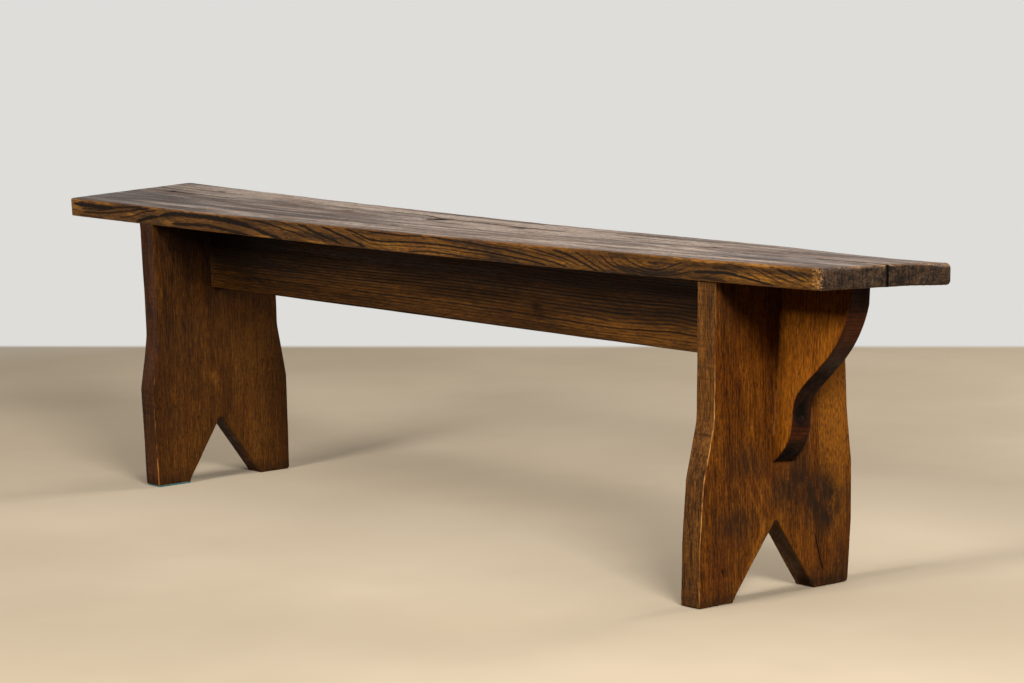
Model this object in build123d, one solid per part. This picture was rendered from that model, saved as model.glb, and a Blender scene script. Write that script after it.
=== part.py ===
from build123d import *
import os

# Rustic plank bench, in millimetres, +Z up. The seat runs along X and its front edge
# faces -Y. The origin is on the floor, under the middle of the space the bench takes.

# Seat plank. It is in wind: each end is turned a little about X, to opposite sides. It
# also sags in a shallow bow between its ends.
seat_height = 440.0
seat_length = 1740.0
seat_width = 224.0
seat_thickness = 29.0
seat_left_wind = 2.1
seat_right_wind = -2.8
seat_sag = 5.3
seat_corner_radius = 9.0
seat_upper_arris = 4.0
seat_lower_arris = 2.5

# The drying split that runs in from the right end of the seat
split_length = 130.0
split_mouth = 2.6
split_offset = 2.0

# Board legs
leg_thickness = 36.0
left_overhang = 210.0
right_overhang = 196.0
waist_height = 234.0
left_knee_height = 151.0
right_knee_height = 160.0
foot_width = 57.0
notch_height = 99.0
left_notch_skew = -6.0
right_notch_skew = 5.0
waist_radius = 90.0
knee_radius = 5.0
notch_radius = 3.0
foot_corner_radius = 2.5
leg_arris = 1.8

# How far each leg edge lies from the middle of the seat, as shares of half its width,
# at the seat, at the waist, at the knee and on the floor. The two legs were cut by hand.
left_front_shares = (0.985, 0.995, 1.14, 1.09)
left_rear_shares = (0.94, 0.965, 1.075, 1.09)
right_front_shares = (0.955, 1.015, 1.195, 1.305)
right_rear_shares = (0.985, 1.02, 1.09, 0.99)

# Stub tenons that stand on each leg and enter the underside of the seat
leg_tenon_thickness = 14.0
leg_tenon_width = 48.0
leg_tenon_length = 13.0
leg_tenon_spacing = 118.0

# Stretcher on edge between the legs
stretcher_thickness = 33.0
stretcher_depth = 108.0
stretcher_offset = 3.0
stretcher_arris = 2.0
stretcher_tenon_thickness = 13.0
stretcher_tenon_depth = 70.0
stretcher_tenon_length = 14.0

# Ogee brackets under the overhangs, outside the legs. The right one hangs askew.
bracket_reach = 130.0
bracket_drop = 239.0
bracket_thickness = 33.5
bracket_arris = 1.5
left_bracket_offset = 3.0
left_bracket_tilt = 0.0
right_bracket_offset = 20.0
right_bracket_tilt = -5.0

# The ogee as shares of the reach and of the drop, from the seat down to the tail
ogee_edge_shares = (1.0, 0.113)
ogee_belly_shares = (0.868, 0.30)
ogee_flank_shares = (0.615, 0.465)
ogee_hollow_start_shares = (0.365, 0.592)
ogee_hollow_shares = (0.283, 0.655)
ogee_throat_reach_share = 0.257
ogee_throat_upper_share = 0.725
ogee_throat_lower_share = 0.795
ogee_tail_shares = (0.185, 0.91)
ogee_tip_shares = (0.015, 1.0)

# Countersunk slotted wood screws
screw_shank = 4.6
screw_head = 9.4
screw_head_depth = 3.2
screw_point_length = 7.0
screw_slot_width = 1.2
screw_slot_depth = 1.1
screw_sink = 0.6
tail_screw_length = 52.0
stretcher_screw_length = 72.0

# Felt pad under the front foot of the left leg
pad_thickness = 2.0
pad_inset = 0.8

# Fits: play round a tenon, the gap past its end, play round a screw, and how far a cut
# runs past its piece
tenon_play = 0.2
tenon_end_gap = 1.0
screw_play = 0.1
overrun = 5.0

# Places that the pieces share
half_width = seat_width / 2
seat_underside = seat_height - seat_thickness
seat_middle = seat_height - seat_thickness / 2
left_outer = -seat_length / 2 + left_overhang
left_inner = left_outer + leg_thickness
right_outer = seat_length / 2 - right_overhang
right_inner = right_outer - leg_thickness
stretcher_middle = seat_underside - stretcher_depth / 2
throat_reach = bracket_reach * ogee_throat_reach_share
throat_drop = bracket_drop * (ogee_throat_upper_share + ogee_throat_lower_share) / 2
left_foot_front = -half_width * left_front_shares[3]

# The origin lies half way between the foremost and the rearmost edge
foremost = -half_width * max(1, *left_front_shares, *right_front_shares)
rearmost = half_width * max(1, *left_rear_shares, *right_rear_shares)
to_origin = Pos(0, -(foremost + rearmost) / 2, 0)


def block(length, depth, height, x, y, z):
    """A block by the middle of its length and depth and by its lowest height."""
    lowest = (Align.CENTER, Align.CENTER, Align.MIN)
    return Pos(x, y, z) * Box(length, depth, height, align=lowest)


def screw(length):
    """A countersunk screw along Z, its flat head at the origin and its point below."""
    half_head = screw_head / 2
    half_shank = screw_shank / 2
    shank_end = -(length - screw_point_length)
    outline = Polyline(
        (0, 0),
        (half_head, 0),
        (half_shank, -screw_head_depth),
        (half_shank, shank_end),
        (0, -length),
        close=True,
    )
    body = revolve(Plane.XZ * make_face(outline), Axis.Z)
    slot_length = screw_head + overrun
    slot = block(slot_length, screw_slot_width, overrun, 0, 0, -screw_slot_depth)
    return body - slot


def screw_hole(length):
    """The countersunk hole that takes a screw, open above its head."""
    half_head = screw_head / 2 + screw_play
    half_shank = screw_shank / 2 + screw_play
    outline = Polyline(
        (0, overrun),
        (half_head, overrun),
        (half_head, 0),
        (half_shank, -screw_head_depth),
        (half_shank, -length - screw_play),
        (0, -length - screw_play),
        close=True,
    )
    return revolve(Plane.XZ * make_face(outline), Axis.Z)


def inward(side):
    """Turn that lays a screw along X with its head on the outer side."""
    return Rot(0, 90 * side, 0)


def bracket_place(side):
    """Where the top inner corner of a bracket lies, and how far it hangs askew."""
    outer = right_outer if side > 0 else left_outer
    offset = right_bracket_offset if side > 0 else left_bracket_offset
    tilt = right_bracket_tilt if side > 0 else left_bracket_tilt
    return Pos(outer, offset, seat_underside) * Rot(tilt, 0, 0)


def tail_screw_place(side):
    """A screw through the hollow of a bracket, square into the leg."""
    head = side * (throat_reach - screw_sink)
    return bracket_place(side) * Pos(head, 0, -throat_drop) * inward(side)


def stretcher_screw_place(side):
    """A screw through the leg into the end of the stretcher, hidden by the bracket."""
    outer = right_outer if side > 0 else left_outer
    head = outer - side * screw_sink
    return Pos(head, stretcher_offset, stretcher_middle) * inward(side)


def leg_tenon(step, side, play, end_gap):
    """One of the two stub tenons on a leg, or with play the mortise that takes it."""
    middle = (right_outer + right_inner) / 2 if side > 0 else (left_outer + left_inner) / 2
    place = step * leg_tenon_spacing / 2
    thickness = leg_tenon_thickness + 2 * play
    width = leg_tenon_width + 2 * play
    root = seat_underside - leg_tenon_length
    return block(thickness, width, 2 * leg_tenon_length + end_gap, middle, place, root)


def stretcher_tenon(side, play, end_gap):
    """The stub tenon on one end of the stretcher, or with play its mortise."""
    inner = right_inner if side > 0 else left_inner
    length = stretcher_tenon_length + end_gap
    thickness = stretcher_tenon_thickness + 2 * play
    depth = stretcher_tenon_depth + 2 * play
    middle = inner + side * length / 2
    lowest = stretcher_middle - depth / 2
    return block(length, thickness, depth, middle, stretcher_offset, lowest)


def seat_section(x, wind, sag):
    """The section of the plank at one place, turned about its own middle."""
    section = Plane.YZ * Rectangle(seat_width, seat_thickness)
    return Pos(x, 0, seat_middle - sag) * Rot(wind, 0, 0) * section


def seat_blank():
    """The bowed plank with sharp edges, which also trims all that stands under it."""
    left_end = seat_section(-seat_length / 2, seat_left_wind, 0)
    middle = seat_section(0, (seat_left_wind + seat_right_wind) / 2, seat_sag)
    right_end = seat_section(seat_length / 2, seat_right_wind, 0)
    return loft([left_end, middle, right_end])


def seat_plank():
    plank = seat_blank()
    ends = plank.faces().sort_by(Axis.X)
    corners = []
    for end in (ends[0], ends[-1]):
        for edge in end.edges():
            if abs(edge.center().Y) > half_width / 2:
                corners.append(edge)
    plank = fillet(corners, seat_corner_radius)
    plank = fillet(plank.faces().sort_by(Axis.Z)[-1].edges(), seat_upper_arris)
    plank = fillet(plank.faces().sort_by(Axis.Z)[0].edges(), seat_lower_arris)
    for side in (-1, 1):
        for step in (-1, 1):
            plank -= leg_tenon(step, side, tenon_play, tenon_end_gap)
    end = seat_length / 2
    split = Polyline(
        (end - split_length, split_offset),
        (end + overrun, split_offset - split_mouth / 2),
        (end + overrun, split_offset + split_mouth / 2),
        close=True,
    )
    wedge = extrude(make_face(split), 2 * seat_thickness)
    return plank - Pos(0, 0, seat_middle - seat_thickness) * wedge


def leg_outline(front_shares, rear_shares, knee_height, notch_skew):
    """The side of a leg: a waist, a knee, two feet and the notch between them."""
    front, front_waist, front_knee, front_foot = (-half_width * s for s in front_shares)
    rear, rear_waist, rear_knee, rear_foot = (half_width * s for s in rear_shares)
    notch_top = (front_foot + rear_foot) / 2 + notch_skew
    corners = [
        (front, seat_middle, 0),
        (front_waist, waist_height, waist_radius),
        (front_knee, knee_height, knee_radius),
        (front_foot, 0, foot_corner_radius),
        (front_foot + foot_width, 0, 0),
        (notch_top, notch_height, notch_radius),
        (rear_foot - foot_width, 0, 0),
        (rear_foot, 0, foot_corner_radius),
        (rear_knee, knee_height, knee_radius),
        (rear_waist, waist_height, waist_radius),
        (rear, seat_middle, 0),
    ]
    face = make_face(Polyline(*[(y, z) for y, z, radius in corners], close=True))
    for y, z, radius in corners:
        if radius:
            corner = face.vertices().sort_by_distance((y, z, 0))[0]
            face = fillet(corner, radius)
    return face


def board_leg(side, outline):
    left_face = right_inner if side > 0 else left_outer
    board = Pos(left_face, 0, 0) * extrude(Plane.YZ * outline, leg_thickness)
    worn = []
    for face in board.faces().filter_by(Axis.X):
        for edge in face.edges():
            if edge.center().Z < seat_underside:
                worn.append(edge)
    board = fillet(worn, leg_arris) - seat_blank()
    for step in (-1, 1):
        board += leg_tenon(step, side, 0, 0)
    board -= stretcher_tenon(side, tenon_play, tenon_end_gap)
    board -= stretcher_screw_place(side) * screw_hole(stretcher_screw_length)
    return board - tail_screw_place(side) * screw_hole(tail_screw_length)


def left_leg():
    """The left leg, its front foot cut short by the felt pad that it stands on."""
    outline = leg_outline(
        left_front_shares, left_rear_shares, left_knee_height, left_notch_skew
    )
    reach = foot_width + 2 * overrun
    trim = block(
        leg_thickness + 2 * overrun,
        reach,
        pad_thickness + overrun,
        (left_outer + left_inner) / 2,
        left_foot_front - overrun + reach / 2,
        -overrun,
    )
    return board_leg(-1, outline) - trim


def right_leg():
    outline = leg_outline(
        right_front_shares, right_rear_shares, right_knee_height, right_notch_skew
    )
    return board_leg(1, outline)


def stretcher():
    """The rail on edge, its top let run into the plank and trimmed to its underside."""
    length = right_inner - left_inner
    middle = (right_inner + left_inner) / 2
    lowest = seat_underside - stretcher_depth
    height = seat_middle - lowest
    rail = block(length, stretcher_thickness, height, middle, stretcher_offset, lowest)
    rail = fillet(rail.faces().sort_by(Axis.Z)[0].edges().filter_by(Axis.X), stretcher_arris)
    rail -= seat_blank()
    for side in (-1, 1):
        rail += stretcher_tenon(side, 0, 0)
        rail -= stretcher_screw_place(side) * screw_hole(stretcher_screw_length)
    return rail


def ogee_point(shares):
    return (bracket_reach * shares[0], -bracket_drop * shares[1])


def bracket(side):
    """An ogee bracket: full under the seat, hollow below it, rounded off at the tail."""
    above = seat_thickness / 2
    throat_top = (throat_reach, -bracket_drop * ogee_throat_upper_share)
    throat_foot = (throat_reach, -bracket_drop * ogee_throat_lower_share)
    edge = ogee_point(ogee_edge_shares)
    flank = ogee_point(ogee_flank_shares)
    hollow_start = ogee_point(ogee_hollow_start_shares)
    tip = ogee_point(ogee_tip_shares)
    curve = [
        Line((0, above), (edge[0], above)),
        Line((edge[0], above), edge),
        ThreePointArc(edge, ogee_point(ogee_belly_shares), flank),
        Line(flank, hollow_start),
        ThreePointArc(hollow_start, ogee_point(ogee_hollow_shares), throat_top),
        Line(throat_top, throat_foot),
        ThreePointArc(throat_foot, ogee_point(ogee_tail_shares), tip),
        Line(tip, (0, tip[1])),
        Line((0, tip[1]), (0, above)),
    ]
    board = extrude(Plane.XZ * make_face(Wire(curve)), bracket_thickness)
    board = Pos(0, bracket_thickness / 2, 0) * board
    worn = []
    for big_face in board.faces().filter_by(Axis.Y):
        for edge in big_face.edges():
            middle = edge.center()
            if middle.X > bracket_arris and middle.Z < 0:
                worn.append(edge)
    board = chamfer(worn, bracket_arris)
    if side < 0:
        board = mirror(board, Plane.YZ)
    board = bracket_place(side) * board - seat_blank()
    return board - tail_screw_place(side) * screw_hole(tail_screw_length)


def felt_pad():
    return block(
        leg_thickness - 2 * pad_inset,
        foot_width - 2 * pad_inset,
        pad_thickness,
        (left_outer + left_inner) / 2,
        left_foot_front + foot_width / 2,
        0,
    )


def save(name, solids):
    placed = [to_origin * solid for solid in solids]
    export_step(Compound(label=name, children=placed), f"parts/{name}.step")


os.makedirs("parts", exist_ok=True)
save("seat_plank", [seat_plank()])
save("left_leg", [left_leg()])
save("right_leg", [right_leg()])
save("stretcher", [stretcher()])
save("left_bracket", [bracket(-1)])
save("right_bracket", [bracket(1)])
save("bracket_tail_screws", [tail_screw_place(s) * screw(tail_screw_length) for s in (-1, 1)])
save("stretcher_screws", [stretcher_screw_place(s) * screw(stretcher_screw_length) for s in (-1, 1)])
save("foot_pad", [felt_pad()])
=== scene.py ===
import cmath
import math

import bpy
import numpy as np
from mathutils import Matrix, Vector, geometry


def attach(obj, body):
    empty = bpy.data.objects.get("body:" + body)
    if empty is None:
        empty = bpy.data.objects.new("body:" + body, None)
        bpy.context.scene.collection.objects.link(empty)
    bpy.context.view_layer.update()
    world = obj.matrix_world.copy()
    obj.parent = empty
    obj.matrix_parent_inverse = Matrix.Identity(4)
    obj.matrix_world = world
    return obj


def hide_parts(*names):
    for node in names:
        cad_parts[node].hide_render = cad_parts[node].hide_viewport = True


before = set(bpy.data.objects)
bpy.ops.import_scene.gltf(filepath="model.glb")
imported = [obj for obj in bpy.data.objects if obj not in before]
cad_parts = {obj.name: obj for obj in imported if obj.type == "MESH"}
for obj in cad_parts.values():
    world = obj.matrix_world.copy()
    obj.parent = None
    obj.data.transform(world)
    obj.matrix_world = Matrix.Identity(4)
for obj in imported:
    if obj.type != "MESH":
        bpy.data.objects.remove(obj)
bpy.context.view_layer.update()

# A rustic plank bench. Sizes are in millimetres in the frame of the CAD model, turned into
# metres when a mesh is made.
MM = 0.001
MIDDLE_Y = 12.04

# Seat plank: bowed and in wind
SEAT_LENGTH, SEAT_WIDTH, SEAT_THICKNESS = 1740.0, 224.0, 29.0
SEAT_MIDDLE = 425.5
SEAT_SAG = 5.3
SEAT_LEFT_WIND, SEAT_RIGHT_WIND = 2.1, -2.8
UNDERSIDE = SEAT_MIDDLE - SEAT_THICKNESS / 2
HALF_LENGTH, HALF_WIDTH = SEAT_LENGTH / 2, SEAT_WIDTH / 2

# Legs
LEG_THICKNESS = 36.0
LEFT_OUTER, RIGHT_OUTER = -660.0, 674.0
LEFT_INNER, RIGHT_INNER = LEFT_OUTER + LEG_THICKNESS, RIGHT_OUTER - LEG_THICKNESS
WAIST_HEIGHT, NOTCH_HEIGHT = 234.0, 99.0

# Stretcher and brackets
RAIL_THICKNESS, RAIL_OFFSET = 33.0, 3.0
RAIL_LEFT_BOTTOM, RAIL_RIGHT_BOTTOM = 302.0, 300.5
BRACKET_REACH, BRACKET_DROP, BRACKET_THICKNESS = 130.0, 239.0, 33.5

# How far a board runs into the one that it abuts, so that no gap shows
SUNK = 1.2
# The radius of an arris that isn't worn, where a board meets another
CRISP = 0.3
# The most that an arris may reach in where nothing is in its way
FREE = 9.0
# How far a point counts as lying from drawn lines that aren't there, in half widths of a line
CLEAR = 9.0


# Noise, smoothing and blending on arrays

def value_noise(points, seed):
    """Smooth noise from -1 to 1 on a lattice of unit cells."""
    cell = np.floor(points).astype(np.int64)
    part = points - cell
    part = part * part * (3 - 2 * part)
    total = np.zeros(len(points))
    for corner in np.ndindex(2, 2, 2):
        c = cell + np.array(corner)
        h = (c[:, 0] * 73856093) ^ (c[:, 1] * 19349663) ^ (c[:, 2] * 83492791) ^ (seed * 2654435761)
        h = (h ^ (h >> 13)) * 1274126177 & 0x7FFFFFFF
        h = (h ^ (h >> 15)) * 668265263 & 0x7FFFFFFF
        value = (h >> 7 & 0xFFFF) / 32767.5 - 1
        weight = np.prod(np.where(corner, part, 1 - part), axis=1)
        total += value * weight
    return total


def layered_noise(points, seed):
    """Three octaves of smooth noise."""
    total, size = 0.0, 1.0
    for octave in range(3):
        total = total + value_noise(points * 2.03 ** octave, seed + octave) * size
        size *= 0.5
    return total / 1.6


def face_noise(u, v, cell_u, cell_v, seed):
    """Noise over a face, with cells of the given size."""
    return value_noise(np.stack([u / cell_u, v / cell_v, u * 0], 1), seed)


def hump(x, middle, radius):
    """A soft peak of height 1."""
    return np.exp(-((x - middle) / radius) ** 2)


def ease(low, high, x):
    """From 0 at low to 1 at high, smoothly."""
    t = np.clip((x - low) / (high - low), 0, 1)
    return t * t * (3 - 2 * t)


def spots(u, v, places):
    """Soft round or oval patches: each is a middle, two radii and an amount."""
    return sum(amount * hump(u, mu, ru) * hump(v, mv, rv) for mu, mv, ru, rv, amount in places)


def points_of(flat):
    """Pairs of numbers, from numbers in turn."""
    return list(zip(flat[::2], flat[1::2]))


def to_segment(u, v, start, end):
    """The share of a straight segment that each point lies beside, and how far off it lies."""
    (au, av), (bu, bv) = start, end
    du, dv = bu - au, bv - av
    share = np.clip(((u - au) * du + (v - av) * dv) / (du * du + dv * dv), 0, 1)
    return share, np.hypot(u - au - share * du, v - av - share * dv)


def strokes(u, v, lines):
    """Soft lines drawn on a face: each is its half width, an amount and then its points."""
    total = np.zeros(np.shape(u))
    for width, amount, *flat in lines:
        points = points_of(flat)
        for a, b in zip(points, points[1:]):
            away = to_segment(u, v, a, b)[1]
            total = np.maximum(total, amount * hump(away, 0, width))
    return total


def drawn(u, v, lines):
    """Lines drawn on a face: how far each point is from the nearest one, in half widths of that
    line, and how bold it is. A line is its half width, its boldness and then its points, and it
    tapers towards both ends."""
    near, bold = np.full(np.shape(u), CLEAR), np.zeros(np.shape(u))
    for width, amount, *flat in lines:
        points = points_of(flat)
        runs = [math.dist(a, b) for a, b in zip(points, points[1:])]
        passed = 0.0
        for a, b, run in zip(points, points[1:], runs):
            share, away = to_segment(u, v, a, b)
            at = passed + share * run
            taper = np.clip(0.3 + np.minimum(at, sum(runs) - at) / (7 * width), 0, 1)
            away = away / (width * taper)
            bold = np.where(away < near, amount, bold)
            near = np.minimum(near, away)
            passed += run
    return near, bold


def smooth_line(knots, reach):
    """A smooth curve through given heights, as a function."""
    step = 3.0
    x = np.arange(knots[0][0] - 60, knots[-1][0] + 60, step)
    y = np.interp(x, *zip(*knots))
    kernel = np.ones(2 * int(reach / step) + 1)
    kernel /= len(kernel)
    for again in range(2):
        y = np.convolve(np.pad(y, len(kernel) // 2, mode="edge"), kernel, mode="valid")
    return lambda at: np.interp(at, x, y)


# The bowed and twisted plank, and what stands under it

def seat_tilt(x):
    """The plank's lean along the bench, in radians."""
    share = x / SEAT_LENGTH + 0.5
    return np.radians(SEAT_LEFT_WIND * (1 - share) + SEAT_RIGHT_WIND * share)


def seat_line(x):
    """The height of the plank's middle."""
    return SEAT_MIDDLE - SEAT_SAG * (1 - (2 * x / SEAT_LENGTH) ** 2)


def place_on_seat(u, v, w):
    a = seat_tilt(u)
    y = MIDDLE_Y + v * np.cos(a) - w * np.sin(a)
    z = seat_line(u) + v * np.sin(a) + w * np.cos(a)
    return np.stack([u, y, z], -1)


def seat_underside(x, y):
    a = seat_tilt(x)
    low = -SEAT_THICKNESS / 2
    v = (y - MIDDLE_Y + low * np.sin(a)) / np.cos(a)
    return seat_line(x) + v * np.sin(a) + low * np.cos(a)


def fit_under_seat(points, start):
    """Stretches a board from a height up so that its top meets the underside of the seat."""
    limit = seat_underside(points[:, 0], points[:, 1]) + SUNK
    share = np.clip((points[:, 2] - start) / (UNDERSIDE - start), 0, None)
    points[:, 2] = np.where(points[:, 2] > start, start + share * (limit - start), points[:, 2])
    return points


# Boards: an outline, a thickness and worn arrises

def columns(numbers):
    """Complex numbers as rows of two."""
    return np.stack([numbers.real, numbers.imag], 1)


def outline(corners, step):
    """Points round a closed outline with rounded corners, their outward normals, and how far
    in an arris may reach. Corners are (u, v, radius), counter-clockwise."""
    points, limits, arcs = [], [], []
    count = len(corners)
    places = [complex(u, v) for u, v, radius in corners]
    for i, here in enumerate(places):
        radius = corners[i][2]
        d1, d2 = here - places[i - 1], places[(i + 1) % count] - here
        d1, turn = d1 / abs(d1), cmath.phase(d2 / d1)
        if radius == 0:
            arcs.append(([here], 0.35 if turn > 0.3 else FREE))
            continue
        start = here - d1 * radius * math.tan(abs(turn) / 2)
        middle = start + 1j * d1 * math.copysign(radius, turn)
        parts = max(2, math.ceil(abs(turn) / math.radians(14)),
                    math.ceil(radius * abs(turn) / step))
        ring = [middle + (start - middle) * cmath.rect(1, turn * k / parts)
                for k in range(parts + 1)]
        arcs.append((ring, radius * 0.8 if turn > 0 else FREE))
    for i, (ring, limit) in enumerate(arcs):
        end, nxt = ring[-1], arcs[(i + 1) % count][0][0]
        pieces = max(1, round(abs(nxt - end) / step))
        points += ring + [end + (nxt - end) * k / pieces for k in range(1, pieces)]
        limits += [limit] * len(ring) + [FREE] * (pieces - 1)
    points = np.array(points)
    keep = abs(points - np.roll(points, 1)) > 1e-4
    points, limits = points[keep], np.array(limits)[keep]
    forward = np.roll(points, -1) - points
    normal = -1j * forward / abs(forward)
    last = np.roll(normal, 1)
    mitre = (normal + last) / np.maximum(1 + (normal * last.conj()).real, 0.35)
    return columns(points), columns(mitre), limits


def in_chunks(points, test):
    """A test of every point, in parts that don't fill the memory."""
    return np.concatenate([test(points[k:k + 4000, None]) for k in range(0, len(points), 4000)])


def inside(points, ring):
    """Which points lie inside a closed ring."""
    (au, av), (bu, bv) = ring.T, np.roll(ring, -1, 0).T
    rise = np.where(bv == av, 1, bv - av)

    def crossed_oddly(p):
        crosses = (av > p[..., 1]) != (bv > p[..., 1])
        at = au + (p[..., 1] - av) / rise * (bu - au)
        return np.sum(crosses & (p[..., 0] < at), axis=1) % 2 == 1
    return in_chunks(points, crossed_oddly)


def away_from(points, line, gap):
    """Which points lie further than gap from every point of a line."""
    return in_chunks(points, lambda p: np.linalg.norm(p - line, axis=2).min(axis=1) > gap)


def crack_rows(crack, random):
    """The middle and both lips of a crack, with the share of its full width at each point. A
    crack is its width, its depth, its points, the step along it and how far it wanders."""
    width, depth, flat, step, wander = crack
    knots = np.array([complex(*point) for point in points_of(flat)])
    at = np.concatenate([[0], np.cumsum(abs(np.diff(knots)))])
    s = np.linspace(0, at[-1], max(4, int(at[-1] / step)))
    middle = np.interp(s, at, knots)
    along = np.gradient(middle)
    across = 1j * along / abs(along)
    sway = smooth_line(list(zip(s, random.uniform(-1, 1, len(s)))), 6.0)(s)
    middle = middle + across * sway * wander
    share = np.sin(np.pi * np.clip((s + 2) / (at[-1] + 4), 0, 1)) ** 0.6
    share = share * random.uniform(0.6, 1.0, len(s))
    lip = across * width / 2 * share
    return columns(middle), columns(middle + lip), columns(middle - lip), share


def face_mesh(ring, cell, cracks, random):
    """Fills a ring with triangles. Returns the new points, the depth of each, and the
    triangles by index into the ring's points and then the new ones."""
    low, high = ring.min(0), ring.max(0)
    counts = np.maximum(1, np.round((high - low) / cell)).astype(int)
    grid = np.stack(np.meshgrid(*[
        np.linspace(low[k], high[k], counts[k] + 1)[1:-1] for k in (0, 1)
    ], indexing="ij"), -1).reshape(-1, 2)
    grid = grid[inside(grid, ring)]
    near = 0.55 * np.array(cell)
    border = np.concatenate([ring, (ring + np.roll(ring, 1, 0)) / 2])
    grid = grid[away_from(grid / near, border / near, 1.0)]
    extra, depth, edges = [], [], []
    for crack in cracks:
        rows = crack_rows(crack, random)
        grid = grid[away_from(grid, rows[0], max(0.9, crack[0] * 0.9))]
        for k, row in enumerate(rows[:3]):
            first = sum(len(e) for e in extra)
            extra.append(row)
            depth.append(rows[3] * crack[1] if k == 0 else np.zeros(len(row)))
            edges += [(first + j, first + j + 1) for j in range(len(row) - 1)]
    added = np.concatenate(extra + [grid]) if extra else grid
    depth = np.concatenate(depth + [np.zeros(len(grid))]) if extra else np.zeros(len(grid))
    every = [Vector(p) for p in np.concatenate([ring, added])]
    count = len(ring)
    edges = [(a + count, b + count) for a, b in edges]
    edges = [(i, (i + 1) % count) for i in range(count)] + edges
    made = geometry.delaunay_2d_cdt(every, edges, [], 1, 1e-7)
    source = [ids[0] if ids else -1 for ids in made[3]]
    if min(source) < 0 or len(source) != len(every):
        raise ValueError(f"crossing lines in a face: {len(source)} of {len(every)} points")
    return added, depth, [[source[i] for i in tri] for tri in made[2]]


def add(name, data):
    """Puts a mesh, a lamp or a camera in the scene."""
    made = bpy.data.objects.new(name, data)
    bpy.context.scene.collection.objects.link(made)
    return made


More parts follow.
